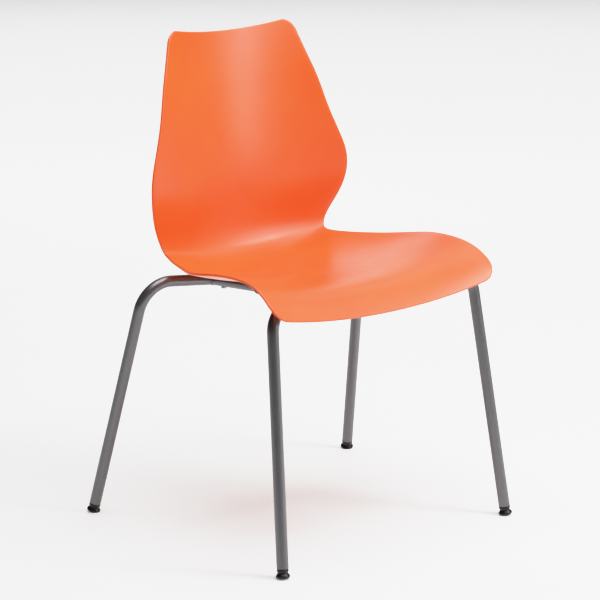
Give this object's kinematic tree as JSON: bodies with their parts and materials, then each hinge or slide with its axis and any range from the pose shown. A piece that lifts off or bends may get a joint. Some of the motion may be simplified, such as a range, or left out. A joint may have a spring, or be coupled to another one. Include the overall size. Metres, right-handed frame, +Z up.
{
  "type": "stacking chair",
  "caption": "Stacking chair with a one-piece moulded plastic seat and back shell screwed to a splayed bent-tube steel frame on round glides.",
  "frame": {"origin": "on the floor, under the middle of the chair's width and depth, level with the undersides of the glides", "axes": "+X to the sitter's left, +Y from the front edge of the seat towards the backrest, +Z up; the sitter faces -Y"},
  "size_m": [0.6118, 0.4996, 0.8352],
  "materials": {
    "shell": "satin moulded polypropylene, orange, very fine grain",
    "frame_paint": "silver-grey metallic powder coat on steel tube, satin",
    "glide_plastic": "black moulded plastic, satin",
    "sleeve_plastic": "black moulded plastic, satin",
    "bumper_rubber": "black soft plastic, matte",
    "screw_zinc": "bright zinc plate",
    "insert_brass": "turned brass"
  },
  "bodies": {
    "root": {"seat_shell": "shell", "rear_leg_tube": "frame_paint", "front_leg_tube": "frame_paint", "right_rail": "frame_paint", "left_rail": "frame_paint", "rear_right_seat_screw": "screw_zinc", "rear_right_insert": "insert_brass", "rear_right_glide": "glide_plastic", "rear_right_glide_sleeve": "sleeve_plastic", "rear_right_bumper": "bumper_rubber", "rear_left_seat_screw": "screw_zinc", "rear_left_insert": "insert_brass", "rear_left_glide": "glide_plastic", "rear_left_glide_sleeve": "sleeve_plastic", "rear_left_bumper": "bumper_rubber", "front_right_seat_screw": "screw_zinc", "front_right_insert": "insert_brass", "front_right_glide": "glide_plastic", "front_right_glide_sleeve": "sleeve_plastic", "front_right_bumper": "bumper_rubber", "front_left_seat_screw": "screw_zinc", "front_left_insert": "insert_brass", "front_left_glide": "glide_plastic", "front_left_glide_sleeve": "sleeve_plastic", "front_left_bumper": "bumper_rubber"}
  },
  "joints": []
}
